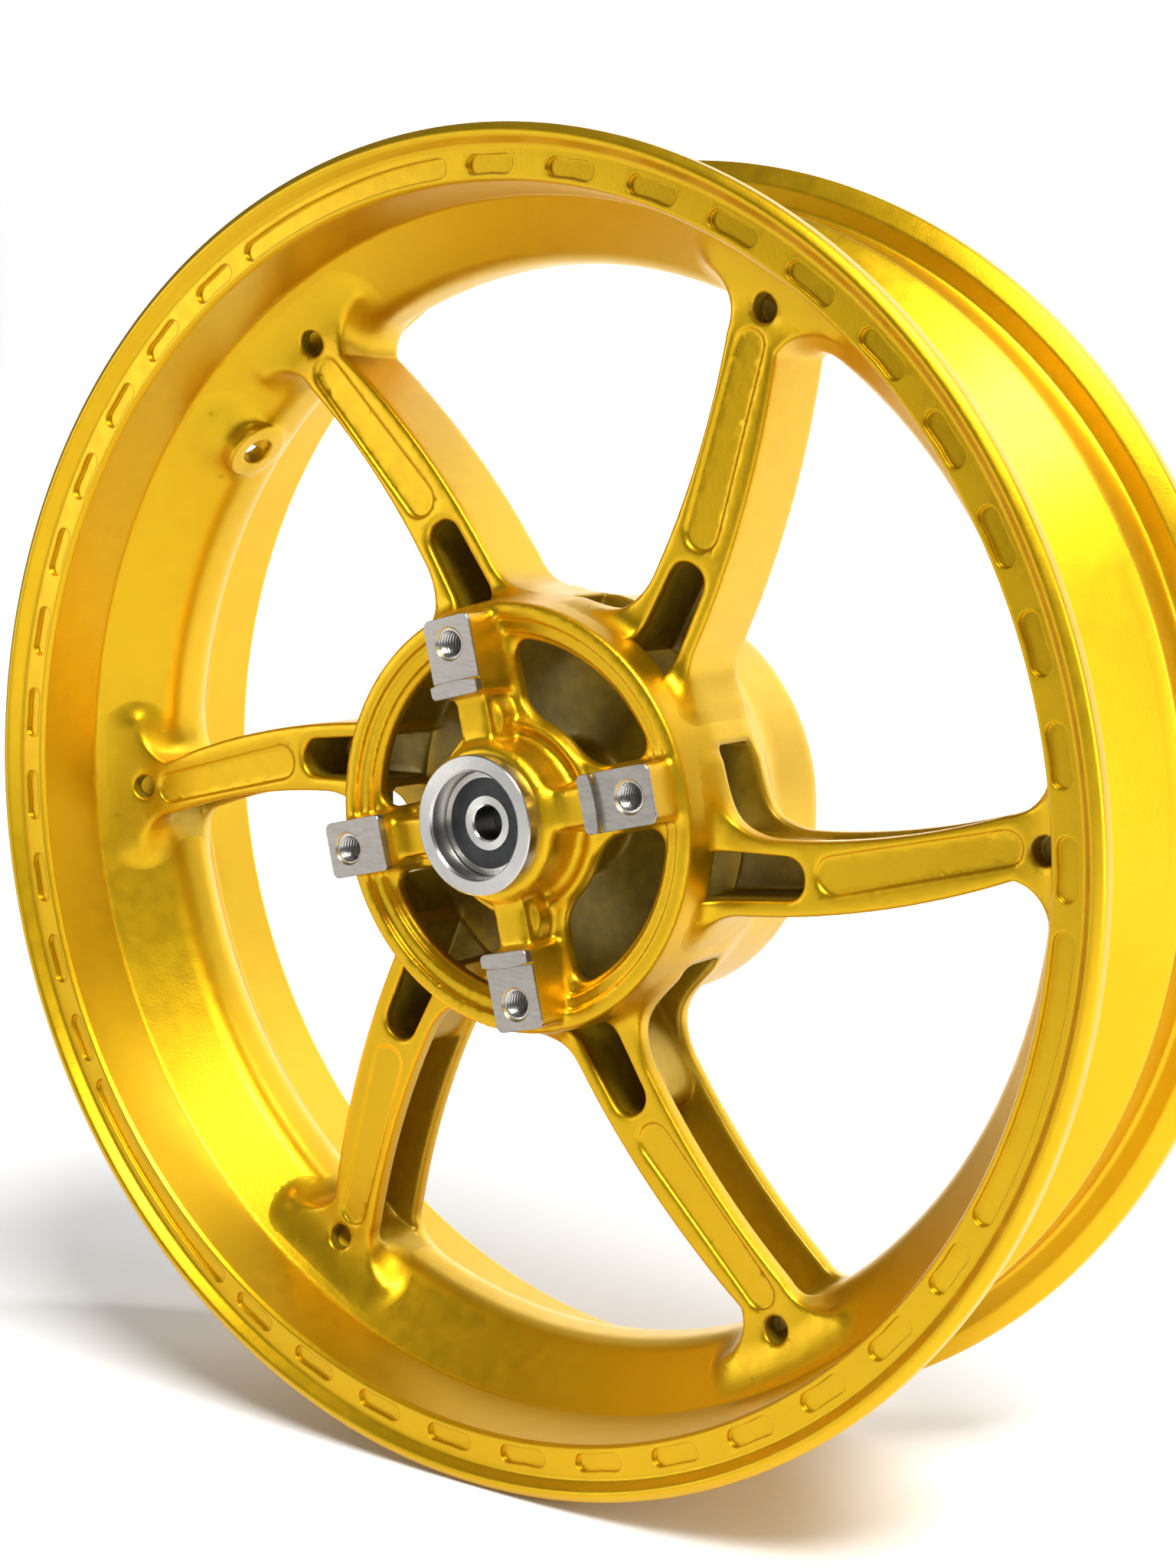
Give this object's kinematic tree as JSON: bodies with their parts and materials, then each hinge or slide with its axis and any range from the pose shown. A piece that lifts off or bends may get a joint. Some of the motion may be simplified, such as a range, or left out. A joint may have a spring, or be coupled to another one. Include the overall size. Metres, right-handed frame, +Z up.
{
  "type": "motorcycle wheel",
  "caption": "Cast motorcycle wheel with curved channel spokes, recessed rim flange, brake disc pads, open hub with a drive chamber, sealed ball bearings and distance tube.",
  "frame": {"origin": "wheel centre, on the axle line in the rim's mid plane", "axes": "+Y along the axle from the brake disc side to the drive side, +Z up, +X to the right seen from the disc side"},
  "size_m": [0.4646, 0.1236, 0.4646],
  "materials": {
    "gold_paint": "satin metallic gold over cast aluminium; pads and boss face machined bare",
    "bearing_steel": "ground",
    "ball_steel": "polished",
    "cage_steel": "pressed strip",
    "seal_rubber": "matt black",
    "tube_steel": "drawn tube"
  },
  "bodies": {
    "axle_set": {"disc_inner_ring": "bearing_steel", "drive_inner_ring": "bearing_steel", "distance_tube": "tube_steel"},
    "wheel": {"wheel_casting": "gold_paint", "disc_outer_ring": "bearing_steel", "disc_seal_outboard": "seal_rubber", "disc_seal_inboard": "seal_rubber", "disc_seal_plate_outboard": "cage_steel", "disc_seal_plate_inboard": "cage_steel", "drive_outer_ring": "bearing_steel", "drive_seal_outboard": "seal_rubber", "drive_seal_inboard": "seal_rubber", "drive_seal_plate_outboard": "cage_steel", "drive_seal_plate_inboard": "cage_steel"},
    "disc_cage": {"disc_balls": "ball_steel", "disc_cage_outboard": "cage_steel", "disc_cage_inboard": "cage_steel", "disc_rivets": "cage_steel"},
    "drive_cage": {"drive_balls": "ball_steel", "drive_cage_outboard": "cage_steel", "drive_cage_inboard": "cage_steel", "drive_rivets": "cage_steel"}
  },
  "joints": [
    {"name": "wheel_spin", "type": "hinge", "parent": "axle_set", "child": "wheel", "pos_m": [0, 0, 0], "axis": [0, 1, 0], "continuous": true},
    {"name": "disc_cage_spin", "type": "hinge", "parent": "axle_set", "child": "disc_cage", "pos_m": [0, 0, 0], "axis": [0, 1, 0], "continuous": true},
    {"name": "drive_cage_spin", "type": "hinge", "parent": "axle_set", "child": "drive_cage", "pos_m": [0, 0, 0], "axis": [0, 1, 0], "continuous": true}
  ],
  "couplings": [
    {"joint": "disc_cage_spin", "follows": "wheel_spin", "ratio": 0.662},
    {"joint": "drive_cage_spin", "follows": "wheel_spin", "ratio": 0.662}
  ]
}
